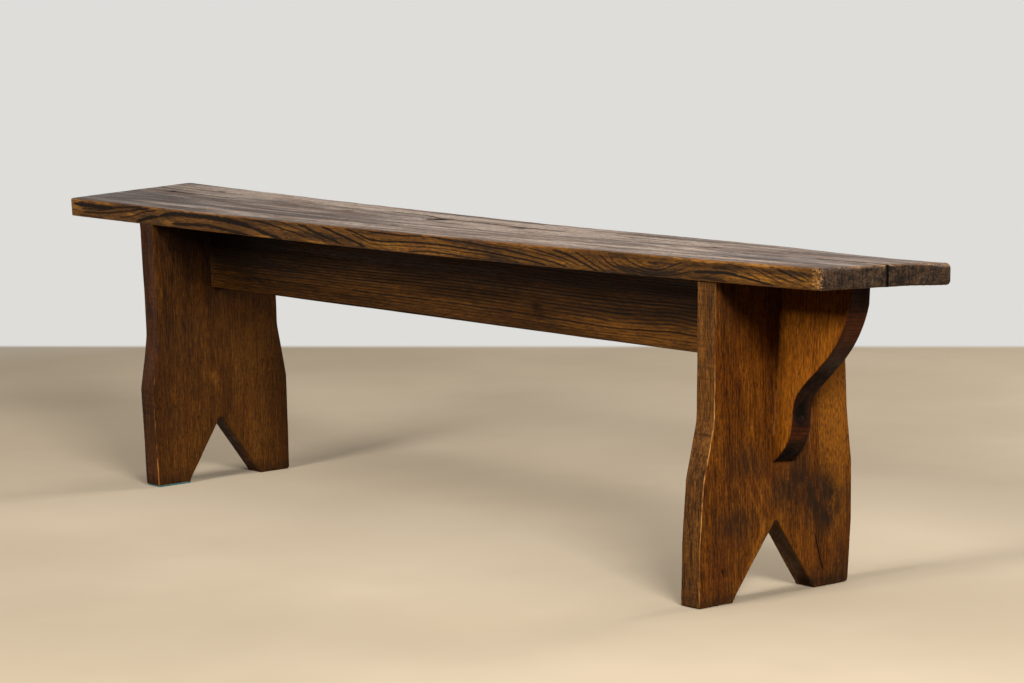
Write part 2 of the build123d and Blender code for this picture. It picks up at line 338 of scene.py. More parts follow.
def board(name, corners, thickness, place, node, slot, material, arris, cells, *, rings, wear,
          relief, seed, step=3.0, rows=2.6, grain_axis=0, ridge=0.05, cracks=(), dents=(),
          bend=None, after=None, figure=None, **looks):
    """One board with worn arrises, a surface that isn't flat, and the wood's own layers. cells
    are the sizes of the mesh's cells on its front and its back, step and rows those along and
    across its edge. place takes a point of the board to the bench, bend and after move it
    further, and looks are functions or tables of spots that vary the colour, some of them
    painted shade and painted highlights."""
    random = np.random.default_rng(seed)
    line, normal, limit = outline(corners, step)
    count = len(line)
    along_line = np.cumsum(np.linalg.norm(np.roll(line, -1, 0) - line, axis=1))
    wobble = layered_noise(
        np.stack([along_line / 34, along_line * 0, along_line * 0 + seed], 1), seed)
    radii = []
    for side in (1, -1):
        r = arris(line[:, 0], line[:, 1], side) * (1 + 0.4 * wobble)
        r = np.minimum(r, limit)
        r = np.minimum(np.mean([np.roll(r, k) for k in range(-2, 3)], axis=0), limit)
        radii.append(np.maximum(r, CRISP))
        wobble = -wobble

    # Rows of points from the front round its arris, down the edge and round the other arris:
    # how far each lies in, its height, its share of the front or back, and of the arris
    front, back = radii
    half, bends = thickness / 2, 4
    turns = [(math.sin(math.pi / 2 * k / bends), math.cos(math.pi / 2 * k / bends), k / bends)
             for k in range(bends + 1)]
    layers = [(front * (1 - sin), half - front * (1 - cos), 1 - k, 2 * sin * cos)
              for sin, cos, k in turns]
    wall = max(2, int(thickness / rows))
    high, low = half - front, -half + back
    layers += [(np.zeros(count), high + (low - high) * (k / wall), 0.0, 0.0)
               for k in range(1, wall)]
    layers += [(back * (1 - cos), -half + back * (1 - sin), -k, 2 * sin * cos)
               for sin, cos, k in turns]

    # Each point's u, v and w, its shares of the faces and of the arris, the wall's normal there
    # and the depth of a crack
    parts = [np.column_stack([
        line - normal * inset[:, None], np.broadcast_to(w, count), np.full(count, face),
        np.full(count, edge), normal, np.zeros(count),
    ]) for inset, w, face, edge in layers]
    faces = []
    for k in range(len(layers) - 1):
        for i in range(count):
            j = (i + 1) % count
            faces.append((k * count + i, (k + 1) * count + i, (k + 1) * count + j, k * count + j))
    total = count * len(layers)
    for side, first, cell, here in ((1, 0, cells[0], cracks), (-1, total - count, cells[1], ())):
        added, depth, triangles = face_mesh(parts[first // count][:, :2], cell, here, random)
        flat = np.zeros((len(added), 8))
        flat[:, :2], flat[:, 2], flat[:, 3], flat[:, 7] = added, side * half, side, depth
        parts.append(flat)
        for tri in triangles:
            ids = [first + i if i < count else total + i - count for i in tri]
            faces.append(tuple(ids if side > 0 else ids[::-1]))
        total += len(added)
    u, v, w, face_share, arris_share, *wall_normal, crack_depth = np.concatenate(parts).T

    points = place(u, v, w)
    mesh = bpy.data.meshes.new(name)
    mesh.from_pydata((points * MM).tolist(), [], faces)
    mesh.update()
    normals = np.empty(len(points) * 3)
    mesh.vertices.foreach_get("normal", normals)
    normals = normals.reshape(-1, 3)

    grain = np.stack([(u, v)[grain_axis], (v, u)[grain_axis], w], 1)
    layer = rings(u, v, w)
    push = layered_noise(grain * (1 / 150, 1 / 60, 1 / 60), seed) * relief
    push += layered_noise(grain * (1 / 30, 1 / 12, 1 / 12), seed + 9) * relief * 0.25
    late = ease(0.35, 0.85, layer % 1) * (1 - ease(0.93, 1.0, layer % 1))
    push += (late - 1) * ridge * ease(0.5, 1, np.abs(face_share))
    push -= crack_depth
    # Painted shade: the hollows of cracks, the split and dents are painted near black
    dark = np.clip(crack_depth / 0.8, 0, 1)
    if "shade" in looks:
        dark = np.maximum(dark, looks["shade"](u, v, w))
    # A dent is its middle, how far it reaches along and across the grain, its depth and how much
    # painted shade darkens its hollow
    for du, dv, dw, long, short, depth, shade in dents:
        reach = (long, short) if grain_axis == 0 else (short, long)
        away = np.sqrt(((u - du) / reach[0]) ** 2 + ((v - dv) / reach[1]) ** 2
                       + ((w - dw) / short) ** 2)
        hollow = 1 - ease(0.55, 1.25, away)
        push -= hollow * depth
        dark = np.maximum(dark, hollow * shade)
    if bend is not None:
        points = points + bend(u, v, w)
    points = points + normals * np.minimum(push - relief * 0.9, 0)[:, None]
    if after is not None:
        points = after(points)
    points[:, 2] = np.maximum(points[:, 2], 0)
    mesh.vertices.foreach_set("co", (points * MM).ravel())
    mesh.update()
    mesh.shade_smooth()

    def store(label, values):
        kind, key = ("FLOAT", "value") if values.ndim == 1 else ("FLOAT_VECTOR", "vector")
        field = mesh.attributes.new(label, kind, "POINT")
        field.data.foreach_set(key, np.ascontiguousarray(values, np.float32).ravel())

    store("grain", grain)
    store("ring", layer)
    store("wear", wear(u, v, w, arris_share))
    for label in ("tone", "soil", "warmth", "chip"):
        given = looks.get(label, lambda u, v, w: u * 0)
        values = spots(u, v, given) if isinstance(given, list) else given(u, v, w)
        store(label, np.clip(values, -2, 1))
    near, bold = figure(u, v, w) if figure else (np.full(len(u), CLEAR), np.zeros(len(u)))
    store("near", np.minimum(near, 4.0))
    store("bold", bold)
    store("dark", dark)
    # Only the top of the seat has gone grey, and that colour ends short of its arris
    top_share, both_share = np.clip(face_share, 0, 1) ** 3, np.abs(face_share)
    store("face", top_share if node == "seat_plank" else both_share)
    store("cut", np.abs(wall_normal[grain_axis]) * (1 - both_share))
    mesh.materials.append(material)
    piece = add(name, mesh)
    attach(piece, "root")
    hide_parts(node)


# Materials

def srgb(red, green, blue):
    def linear(c):
        c /= 255
        return c / 12.92 if c <= 0.04045 else ((c + 0.055) / 1.055) ** 2.4
    return (linear(red), linear(green), linear(blue), 1.0)


class Graph:
    """The node tree of a material or world, made by short calls that each return a socket."""

    def __init__(self, owner):
        self.owner = owner
        owner.use_nodes = True
        self.tree = owner.node_tree
        self.tree.nodes.clear()

    def node(self, kind, inputs, **settings):
        made = self.tree.nodes.new(kind)
        for key, value in settings.items():
            setattr(made, key, value)
        for key, value in inputs.items():
            if isinstance(value, bpy.types.NodeSocket):
                self.tree.links.new(value, made.inputs[key])
            else:
                made.inputs[key].default_value = value
        return made

    def math(self, operation, a, b=0.0, clamp=False):
        made = self.node("ShaderNodeMath", {0: a, 1: b}, operation=operation, use_clamp=clamp)
        return made.outputs[0]

    def plus(self, a, b):
        return self.math("ADD", a, b)

    def times(self, a, b):
        return self.math("MULTIPLY", a, b)

    def most(self, a, b):
        return self.math("MAXIMUM", a, b)

    def swing(self, noise, amount):
        """Noise about zero."""
        return self.times(self.math("SUBTRACT", noise, 0.5), amount)

    def field(self, name, output="Fac"):
        return self.node("ShaderNodeAttribute", {}, attribute_name=name).outputs[output]

    def noise(self, vector, cell, detail, seed, roughness=0.55):
        """Noise with cells of the given sizes."""
        at = self.node("ShaderNodeMapping", {
            "Vector": vector, "Scale": [1 / size for size in cell],
            "Location": (seed, seed * 1.7, -seed)})
        made = self.node("ShaderNodeTexNoise", {
            "Vector": at.outputs[0], "Scale": 1.0, "Detail": detail, "Roughness": roughness})
        return made.outputs["Fac"]

    def span(self, value, low, high, start=0.0, end=1.0, kind="SMOOTHSTEP"):
        """Moves from start to end as the value goes from low to high."""
        made = self.node("ShaderNodeMapRange", {
            "Value": value, "From Min": low, "From Max": high, "To Min": start, "To Max": end,
        }, interpolation_type=kind)
        return made.outputs[0]

    def mix(self, share, a, b):
        return self.node("ShaderNodeMix", {0: share, 6: a, 7: b}, data_type="RGBA").outputs[2]

    def shader(self, colour, roughness, extra):
        inputs = {"Base Color": colour, "Roughness": roughness, **extra}
        return self.node("ShaderNodeBsdfPrincipled", inputs).outputs[0]

    def surface(self, colour, roughness, height, strength, distance, extra):
        bump = self.node(
            "ShaderNodeBump", {"Height": height, "Strength": strength, "Distance": distance})
        return self.finish(self.shader(colour, roughness, {**extra, "Normal": bump.outputs[0]}))

    def finish(self, shader, kind="ShaderNodeOutputMaterial"):
        self.node(kind, {"Surface": shader})
        return self.owner


def wood(name, face, wall, end, late, red, gold, stain, *, lines, weights, pores, seed,
         roughness, wear_at, tall=0.6, marks=0.0, grime, gloss=0.07):
    """Old oiled wood. face and wall each give a deep, a middle and a pale colour, and lines how
    strongly the dark layers show on the walls and on the faces. weights are those of the
    broad, medium and fine streaks, and pores the length, width and strength of the pores."""
    face, wall, end, gold = ([srgb(*colour) for colour in group]
                             for group in (face, wall, end, gold))
    late, red, stain = srgb(*late), srgb(*red), srgb(*stain)
    g = Graph(bpy.data.materials.new(name))
    grain = g.field("grain", "Vector")
    is_face = g.field("face")

    def streaks(length, width, detail, shift, rough=0.55):
        return g.noise(grain, (length, width, width), detail, seed + shift, rough)

    broad, medium = streaks(330, 55, 3, 1), streaks(190, 11, 4, 2)
    fine = streaks(26, 1.8, 4, 3, 0.65)
    length, width, strength = pores
    dashes = g.span(streaks(length, width, 3, 4), 0.5, 0.62)

    # The plain wood: three levels of colour, warmer in places
    deep, middle, pale = (g.mix(is_face, *pair) for pair in zip(wall, face))
    # The tone also carries painted shade and painted highlights, on the legs and the stretcher
    level = g.times(g.field("tone"), 0.5)
    for streak, weight in zip((broad, medium, fine), weights):
        level = g.plus(level, g.swing(streak, weight))
    colour = g.mix(g.span(level, -0.28, 0.05), deep, middle)

    def coat(share, paint):
        nonlocal colour
        colour = g.mix(share, colour, paint)

    coat(g.span(level, 0.0, 0.32), pale)
    # The warmth also carries a painted sheen, the cooler knee facet of the right leg
    warm = g.plus(streaks(140, 40, 3, 7), g.field("warmth"))
    coat(g.span(warm, 0.52, 0.85, 0.0, 0.75), red)

    # The dark layers, the drawn lines and the pores
    phase = g.plus(g.field("ring"), g.times(medium, 0.5))
    part = g.math("FRACT", phase)
    each = g.node("ShaderNodeTexWhiteNoise", {"W": g.math("FLOOR", phase)}, noise_dimensions="1D")
    band = g.times(g.span(part, 0.2, 0.7), g.span(part, 0.88, 1.0, 1.0, 0.0))
    band = g.times(band, g.span(each.outputs["Value"], 0.0, 1.0, 0.4, 1.0))
    band = g.times(band, g.span(streaks(90, 12, 3, 8), 0.25, 0.55, 0.35, 1.0))
    band = g.times(band, g.span(is_face, 0.2, 0.9, *lines))
    line = g.plus(g.field("near"), g.swing(streaks(12, 1.6, 3, 11), 1.7))
    line = g.times(g.span(line, 0.5, 1.5, 1.0, 0.0), g.field("bold"))
    coat(g.most(band, line), late)
    coat(g.times(dashes, strength), late)

    # The end grain, and saw marks across the walls
    sawn = g.noise(grain, (40, 3, 45), 4, seed + 9, 0.7)
    speck = g.noise(grain, (2.6, 2.6, 2.6), 4, seed + 10, 0.75)
    smear = g.noise(grain, (14, 14, 9), 4, seed + 14, 0.6)
    rough_end = g.plus(g.times(sawn, 0.4), g.times(speck, 0.6))
    rough_end = g.plus(rough_end, g.swing(smear, 0.5))
    cut = g.span(g.field("cut"), 0.55, 0.9)
    coat(cut, g.mix(g.span(rough_end, 0.4, 0.62), *end))
    across = g.span(g.noise(grain, (3.2, 3.2, 70), 3, seed + 12), 0.45, 0.68, 0.0, marks)
    coat(g.times(across, g.math("SUBTRACT", 1.0, is_face)), late)

    # Stains and dirt, with painted shade under the seat, then bare wood where it is rubbed or
    # chipped, with a painted highlight where a bracket's arris glints, then painted shade in holes
    # and cracks
    patchy = g.plus(g.times(streaks(26, 11, 4, 5), 0.7), g.times(speck, 0.3))
    soil = g.math("MULTIPLY", g.field("soil"), g.span(patchy, 0.34, 0.58, 0.3, 1.0), True)
    coat(soil, stain)
    coat(g.span(streaks(9, 3.4, 4, 13, 0.65), 0.5, 0.66, 0.0, grime), stain)
    # Rubbed arrises, and on the brackets a painted highlight
    rub = g.plus(g.field("wear"), g.swing(streaks(26, 5, 4, 6), 1.6))
    coat(g.span(rub, wear_at, wear_at + 0.4, 0.0, 0.85), gold[0])
    chip = g.plus(g.field("chip"), g.swing(speck, 2.2))
    coat(g.span(chip, 0.5, 0.8, 0.0, 0.9), gold[1])
    # Painted shade: near black in cracks, the split and dents
    coat(g.field("dark"), srgb(9, 6, 4))

    height = g.plus(g.times(fine, 0.6), g.times(medium, 0.9))
    height = g.math("SUBTRACT", height, g.times(dashes, 0.4))
    height = g.plus(height, g.times(speck, g.times(cut, 0.9)))
    dull = g.most(soil, g.most(g.field("dark"), line))
    rough = g.span(medium, 0.3, 0.7, roughness + 0.12, roughness - 0.08)
    rough = g.plus(rough, g.times(dull, 0.4))
    return g.surface(colour, rough, height, tall, 0.0012, {"Specular IOR Level": gloss})


seat_wood = wood(
    "seat_wood", ((66, 46, 33), (118, 92, 73), (180, 154, 132)),
    ((46, 28, 10), (112, 69, 15), (160, 104, 32)), ((26, 18, 12), (100, 73, 50)),
    (26, 16, 8), (108, 58, 18), ((130, 76, 25), (190, 142, 86)), (24, 15, 9),
    lines=(0.35, 0.3), weights=(0.9, 1.2, 0.75), pores=(12, 1.4, 0.6),
    seed=0.0, roughness=0.36, wear_at=0.58, tall=0.8, grime=0.4, gloss=0.11)
right_wood = wood(
    "right_leg_wood", ((53, 25, 4), (119, 63, 11), (164, 97, 24)),
    ((52, 29, 8), (114, 68, 22), (152, 98, 38)), ((34, 20, 8), (78, 49, 20)),
    (24, 12, 4), (118, 54, 10), ((196, 136, 70), (214, 168, 100)), (50, 33, 19),
    lines=(0.3, 0.25), weights=(0.6, 0.6, 1.35), pores=(7, 0.9, 0.6),
    seed=10.0, roughness=0.45, wear_at=0.62, tall=0.9, marks=0.3, grime=0.45)
left_wood = wood(
    "left_leg_wood", ((42, 22, 5), (89, 50, 11), (126, 77, 24)),
    ((44, 23, 8), (90, 49, 14), (116, 68, 26)), ((34, 20, 8), (76, 50, 22)),
    (22, 12, 5), (92, 42, 9), ((166, 104, 48), (190, 140, 84)), (30, 18, 9),
    lines=(0.3, 0.25), weights=(0.5, 0.5, 1.3), pores=(7, 0.9, 0.65),
    seed=40.0, roughness=0.45, wear_at=0.62, tall=0.9, marks=0.45, grime=0.4)
rail_wood = wood(
    "rail_wood", ((30, 17, 5), (84, 49, 13), (136, 84, 28)),
    ((40, 25, 11), (68, 43, 18), (96, 64, 30)), ((30, 18, 9), (70, 44, 20)),
    (16, 10, 5), (70, 38, 14), ((98, 62, 26), (140, 100, 54)), (18, 12, 7),
    lines=(0.5, 1.0), weights=(0.5, 0.5, 0.6), pores=(20, 1.6, 0.5),
    seed=20.0, roughness=0.45, wear_at=0.9, grime=0.3)
bracket_wood = wood(
    "bracket_wood", ((64, 30, 4), (126, 66, 8), (160, 92, 18)),
    ((28, 12, 4), (64, 30, 8), (104, 52, 16)), ((28, 14, 5), (66, 34, 11)),
    (28, 13, 4), (104, 48, 14), ((150, 92, 44), (190, 130, 70)), (12, 7, 4),
    lines=(0.2, 0.3), weights=(0.4, 0.4, 1.0), pores=(8, 0.9, 0.6),
    seed=30.0, roughness=0.42, wear_at=0.8, tall=0.9, marks=0.75, grime=0.3)


# The seat plank

# How high the rings of the front edge lie at places along it: far below where they nest
crest = smooth_line([
    (-870, 0), (-740, 2), (-600, 14), (-430, 14), (-305, -6), (-60, -50), (0, -50), (75, -47.5),
    (150, -48.5), (250, -54), (350, -66), (400, -74), (475, -95), (500, -105), (515, -110),
    (535, -114), (560, -116), (585, -113.5), (600, -109), (620, -104), (650, -97), (690, -95.5),
    (725, -96.5), (760, -100), (790, -104.5), (870, -120),
], 9.0)


def seat_rings(u, v, w):
    back = v + HALF_WIDTH
    sway = face_noise(u, v, 260, 50, 71) * 4 * np.clip(back / 30, 0, 1)
    return (w - crest(u) * np.exp(-back / 90) + 0.45 * back + sway) / 2.9


# The dark layers of the front edge: half width, boldness, then along the edge and up it in turn
FRONT_LINES = [
    (4.2, 1.0, -858, 6.3, -820, 5.2, -790, 4.6, -740, 5.6),
    (1.6, 0.8, -745, 6, -715, 8.5, -690, 11, -660, 13),
    (2.2, 0.85, -835, -0.5, -800, 0.5, -770, 1.2),
    (1.7, 0.85, -832, -6, -781, -4.5, -759, -3, -733, 0, -706, 2.8, -686, 5.5, -669, 8.5, -640, 11),
    (1.2, 0.8, -728, -7.4, -699, -5.2, -679, -1.3, -665, 3.2, -650, 6, -620, 9),
    (0.9, 0.7, -868, -4, -852, -4), (1.2, 0.8, -845, -11, -800, -11.8, -775, -11.5),
    (2.6, 1.0, -680, -11, -665, -8.5, -650, -4.6, -631, -1.8, -612, 0.5),
    (4.0, 1.0, -612, 1, -594, 4.6, -580, 6.5, -550, 7.8, -500, 8.2, -460, 7.8, -426, 6.8, -409, 5.5,
     -375, 2, -352, -1.5),
    (3.2, 1.0, -360, -0.5, -345, -3, -324, -7, -298, -10.8, -280, -13),
    (2.5, 0.95, -578, -7.8, -545, -7.4, -512, -6, -485, -4.4, -460, -6, -435, -8, -409, -9.8,
     -370, -12),
    (1.4, 0.95, -392, 13, -367, 11.4, -341, 10.3, -316, 7.5, -292, 4.2, -273, 1.6, -247, -1,
     -230, -4.3, -218, -7.5),
    (1.2, 0.8, -310, 13.3, -280, 12, -265, 9, -251, 6.3, -234, 4, -213, -0.4, -196, -3.2, -181, -6,
     -166, -10),
    (2.2, 0.95, -239, 10.7, -222, 9.2, -208, 5.2, -195, 1.8, -179, -1, -164, -4.3, -148, -7,
     -131, -10.4),
    (1.8, 1.0, -182, 12, -160, 8.5, -148, 5.2, -131, 1.8, -114, -2, -99, -4.8, -85, -8.7, -72, -11),
    (1.3, 1.0, -123, 12, -102, 9, -85, 5.2, -75, 2.4, -63, 0.2, -48, -1, -24, -1, 0, 0.5, 34, 2,
     68, 2.3, 102, 2.3, 136, 1.5, 171, -0.2, 205, -1.5, 230, -3, 256, -4.6, 290, -6.5, 324, -9.7,
     340, -12),
    (1.3, 0.95, -62, 11, -30, 10.5, 14, 9.8, 43, 11.2, 68, 12, 102, 11.2, 136, 10, 171, 9, 205, 6.3,
     222, 5.6, 247, 4.3, 273, 2, 290, 0, 324, -3.6, 358, -7.5, 384, -12),
    (0.9, 0.8, -105, 5, -94, 3, -82, 0, -65, -5, -48, -6.2, -24, -6, 0, -4.8, 17, -4.3, 43, -3.8,
     68, -3.2, 111, -2.7, 136, -4, 171, -4.6, 205, -5.5, 239, -7.4, 264, -9.6, 281, -11.8),
    (1.3, 0.9, 28, -12, 40, -11, 51, -9.9, 77, -8.5, 102, -8.8, 136, -10.2, 171, -11.8, 196, -12.6),
    (0.8, 0.75, 205, 9.8, 239, 8, 273, 7, 300, 4.9, 321, 2.5, 341, 0.8, 358, -2.5, 375, -4.7,
     388, -8),
    (1.0, 0.85, 300, 9, 321, 7.3, 341, 4.7, 358, 2.5, 372, 0.3, 385, -2.5, 401, -6.4, 411, -8.6),
    (1.5, 1.0, 350, 9.7, 367, 8, 384, 4.7, 396, 1.4, 409, -2.5, 423, -6.4, 437, -10.8, 449, -13),
    (1.2, 0.95, 399, 9.2, 409, 6.4, 420, 2.5, 432, -2.5, 443, -6.4, 454, -9.7, 464, -12.5),
    (0.9, 0.75, 435, 8.6, 443, 3, 452, -2, 467, -6.4, 478, -9.7, 486, -12),
    (1.2, 0.95, 447, 9.2, 457, 5.3, 467, -0.9, 478, -4.7, 495, -8, 512, -11.4),
    (1.1, 0.9, 471, 11.4, 474, 5.8, 479, 0.3, 491, -4.2, 508, -7, 529, -10.3, 556, -12, 580, -11,
     605, -8.7, 622, -4.8, 636, -3.2),
    (0.8, 0.8, 484, 11, 490, 2.5, 503, -2, 520, -5.3, 537, -8, 556, -9.2, 580, -8.4, 592, -6.8,
     606, -3, 624, 2, 640, 6),
    (1.1, 0.95, 500, 9, 505, 5, 515, 1.5, 529, -1.8, 546, -4.4, 563, -5.2, 580, -3, 597, 2.5,
     614, 8),
    (0.8, 0.75, 517, 9, 525, 5, 537, 1, 551, -1.6, 566, -1.5, 580, 2, 592, 7),
    (1.0, 0.7, 545, 5.5, 556, 3.6, 568, 5), (0.7, 0.7, 600, 8, 618, 11, 640, 13),
    (0.8, 0.7, 590, 0, 605, 4.5, 619, 8, 632, 10),
    (2.4, 1.0, 636, -3.2, 665, -2, 691, -1.2, 708, -1.6, 725, -4),
    (1.5, 1.0, 720, -3.4, 750, -7, 776, -10.4, 790, -12.5),
    (1.8, 0.8, 650, -10, 680, -11, 700, -11.5),
    (1.1, 0.85, 764, 7.4, 776, 4.6, 793, -0.4, 807, -3.7, 822, -7),
    (1.3, 1.0, 793, 8, 807, 5.2, 819, 1.8, 832, -2, 846, -4.3),
    (0.9, 0.8, 742, 9, 760, 4, 775, -1, 790, -5, 806, -9), (1.2, 0.8, 778, 11, 790, 9.5, 806, 7.5),
    (0.9, 0.85, 812, 10, 826, 6, 840, 2, 852, -2), (0.9, 0.8, 800, -1, 815, -5, 832, -9),
    (1.0, 0.8, 735, 2, 750, -2.5, 764, -6.5), (0.8, 0.8, 828, -6, 840, -9, 850, -12),
    (1.3, 0.8, 700, 11, 716, 9, 734, 6), (1.1, 0.8, 690, 4, 708, 3, 724, 1),
    (0.8, 0.7, 781, -6.5, 795, -8.3, 812, -9.5), (0.9, 0.8, 834, 8, 849, 3.6, 860, 0),
    (1.6, 1.0, 848.5, 3, 849.5, 2.5), (0.8, 0.7, 850, -6, 862, -10),
]
# The drying checks in the top, along and across it in turn
LONG_CHECK = (-263, 66, -171, 68, -118, 56, 81, 47, 188, 45)
LEFT_CHECK = (-790, 28, -700, 30, -610, 29)
RIGHT_CHECK = (300, 52, 380, 53, 450, 51)
FRONT_CHECK = (560, -12, 640, -11, 700, -13)
TOP_LINES = [
    (2.6, 1.0, *LONG_CHECK), (2.4, 0.8, *LEFT_CHECK), (2.4, 0.8, *RIGHT_CHECK),
    (2.4, 0.7, *FRONT_CHECK),
]
# The cracks of the right end, across it and up it in turn
END_LINES = [
    (1.1, 0.9, 8.6, 14, 9.6, 3, 8.8, -14), (1.3, 1.0, 0.6, 14, -0.4, 8, 0.4, 3),
    (0.8, 0.8, 0.6, -6, 0.2, -14), (0.9, 0.6, -40, 3, -38, -9), (2.6, 0.6, 34, -2, 48, -1, 62, -4),
    (0.9, 0.5, -70, 6, -69, -6),
]


def seat_figure(u, v, w):
    near, bold = np.full(len(u), CLEAR), np.zeros(len(u))
    for where, across, up, lines in (
        ((v < -107) & (u < 868), u, w, FRONT_LINES), (w > 13.5, u, v, TOP_LINES),
        (u > 866, v, w, END_LINES),
    ):
        near[where], bold[where] = drawn(across[where], up[where], lines)
    return near, bold


def seat_tone(u, v, w):
    on_top = spots(u, v, [
        (-450, -55, 420, 9, -0.5), (-600, -92, 240, 14, -0.45), (680, -40, 120, 9, -0.9),
        (500, -5, 60, 16, 0.9), (0, 72, 600, 10, 0.7), (-300, 90, 300, 7, 0.7),
        (300, 30, 380, 9, 0.4), (80, 0, 420, 120, 0.3), (-760, -30, 170, 60, -0.5),
        (-700, 80, 200, 34, 0.5), (600, 20, 150, 7, -0.7), (760, 62, 110, 9, -0.6),
        (700, -80, 140, 6, 0.6), (400, 80, 160, 6, -0.5),
    ])
    front = spots(u, w, [
        (-692, -1.3, 15, 2, 1.2), (-588, -7, 18, 4, 0.8), (-770, 11, 26, 2.5, 0.8),
        (-848, 12, 14, 3, 0.6), (-628, 12.5, 16, 1.5, 0.8), (-540, 0, 40, 2.5, 0.4),
        (60, 7, 70, 2.5, 0.3), (70, -12.5, 50, 1.5, 0.7), (-195, -12, 30, 2, 0.9),
        (790, 11, 60, 3, 0.6), (800, -5, 90, 12, 0.1), (-330, -12, 30, 2, 0.7),
        (650, 12, 60, 1.5, 0.7),
    ])
    return np.where(w > 13, on_top, np.where(v < -107, front, 0))


def seat_soil(u, v, w):
    bands = spots(u, w, [
        (683, 6, 34, 5, 0.75), (665, -8, 34, 4.5, 0.65), (725, 4, 30, 6, 0.45),
        (640, 5, 20, 6, 0.4), (-225, -2, 60, 7, 0.35), (-790, 3, 60, 5, 0.4),
    ])
    marks = spots(u, v, [
        (-105, 41, 9, 9, 1.6), (-96, 54, 12, 5, 1.0), (-861, 55, 9, 5, 0.8),
        (-786, 28, 12, 6, 1.0), (-715, 72, 9, 5, 0.8), (-312, 34, 18, 6, 1.0),
        (-84, -53, 9, 5, 0.8), (91, 37, 18, 6, 1.1), (326, 52, 14, 6, 1.0), (474, -5, 9, 5, 0.8),
        (518, 25, 16, 6, 1.1),
    ])
    end = spots(v, w, [(30, 0, 30, 12, 0.4), (-60, -3, 30, 12, 0.3), (90, 0, 25, 9, 0.3)])
    return np.where(v < -107, bands, 0) + np.where(w > 13, marks, 0) + (u > 866) * end


def seat_chip(u, v, w):
    front = v < -104
    corner = (0.5 * ease(850, 868, u) + 0.26 * ease(740, 800, u)) * front
    arris = (u > 863) * hump(w, 13.5, 2.7) * (0.36 + 0.1 * hump(v, -20, 50))
    end = (u > 864) * spots(v, w, [
        (5.4, 3, 1.5, 10, 0.42), (-3, 10, 2, 4, 0.4), (57, -9, 12, 5, 0.42), (75, 11, 8, 4, 0.4),
        (-107, 0, 5, 30, 0.4),
    ])
    left = spots(u, w, [(-850, 12, 18, 3, 0.3), (-868, 0, 5, 16, 0.35)]) * front
    return np.minimum(corner + arris + end + left, 0.5)


def in_split(u, v):
    """The split in the right end, which the outline of the board runs into and out of."""
    return (u > 742) & (np.abs(v - 2.1) < 1.5)


def seat_arris(u, v, side):
    size = 4.0 if side > 0 else 2.4
    worn = size * (1 + 0.25 * np.sin(u / 97.0)) + 5.0 * ease(800, 862, u) * ease(70, 104, v)
    return np.where(in_split(u, v) & (u < 869), 0.5, worn)


def seat_wear(u, v, w, arris):
    edge = arris * np.where(u > 864, 0.5, np.where(w > 0, 0.76, 0.85))
    edge = edge * np.where(v < 0, 1.0, 0.8) * (1 - 0.25 * ease(-500, -850, u))
    patch = spots(u, w, [
        (-150, 12.5, 40, 1.5, 0.7), (430, 11, 40, 2, 0.5), (640, 12, 50, 1.5, 0.6),
    ])
    return np.where(in_split(u, v), 0.0, np.maximum(edge, (v < -107) * patch))


# How far the rear edge lies below the plain bow and twist
rear_dip = smooth_line([
    (-870, 0), (-600, 0), (-300, -0.5), (0, -1.1), (300, 0), (500, 0.3), (600, -0.3), (650, -1.6),
    (700, -2.4), (800, -3.0), (870, -2.4),
], 30.0)


def seat_bend(u, v, w):
    """The rear right corner is drawn out backwards, and the front left one a little forwards."""
    rear = ease(760, 870, u) * ease(30, HALF_WIDTH, v)
    front = ease(-760, -870, u) * ease(-30, -HALF_WIDTH, v)
    drop = rear_dip(u) * ease(40, HALF_WIDTH, v)
    return np.stack([u * 0, 4.6 * rear - 1.8 * front, drop], 1)


board(
    "seat_board",
    [(-HALF_LENGTH, -HALF_WIDTH, 4), (HALF_LENGTH, -HALF_WIDTH, 6), (HALF_LENGTH, 1.1, 0),
     (832, 1.4, 0), (790, 1.7, 0), (740, 2.0, 0), (790, 2.4, 0), (832, 2.7, 0),
     (HALF_LENGTH, 3.3, 0), (HALF_LENGTH, HALF_WIDTH, 9), (-HALF_LENGTH, HALF_WIDTH, 13)],
    SEAT_THICKNESS, place_on_seat, "seat_plank", "seat_wood", seat_wood, seat_arris,
    ((10.0, 1.8), (12.0, 7.0)), step=2.6, rows=0.95, rings=seat_rings, wear=seat_wear,
    tone=seat_tone, soil=seat_soil, chip=seat_chip, figure=seat_figure,
    shade=lambda u, v, w: in_split(u, v) * 1.0,
    cracks=[
        (1.6, 1.2, LONG_CHECK, 4.0, 0.8),
        (20, 5.5, (-110, 37, -105, 40, -100, 43), 2.0, 0.4),
        (12, 3.5, (512, 24, 523, 26), 2.0, 0.3),
        (0.9, 0.7, LEFT_CHECK, 4.0, 0.8), (0.9, 0.7, RIGHT_CHECK, 4.0, 0.8),
        (0.8, 0.6, FRONT_CHECK, 4.0, 0.8),
    ],
    dents=[
        (-105, 40, 14, 7, 10, 0.2, 1.0), (-861, 55, 14, 5, 3, 0.8, 0.9),
        (-786, 28, 14, 7, 3, 0.8, 0.9), (-715, 72, 14, 5, 3, 0.8, 0.8),
        (-312, 34, 14, 9, 3, 0.8, 0.8), (-84, -53, 14, 5, 3, 0.8, 0.8),
        (91, 37, 14, 9, 3, 0.8, 0.8), (326, 52, 14, 6, 3, 0.8, 0.9), (474, -5, 14, 5, 3, 0.8, 0.8),
        (517.5, 25, 14, 6, 6, 0.2, 1.0), (650, 40, 14, 7, 4, 0.8, 0.9),
    ],
    relief=0.3, ridge=0.28, seed=4, bend=seat_bend,
)


# The legs

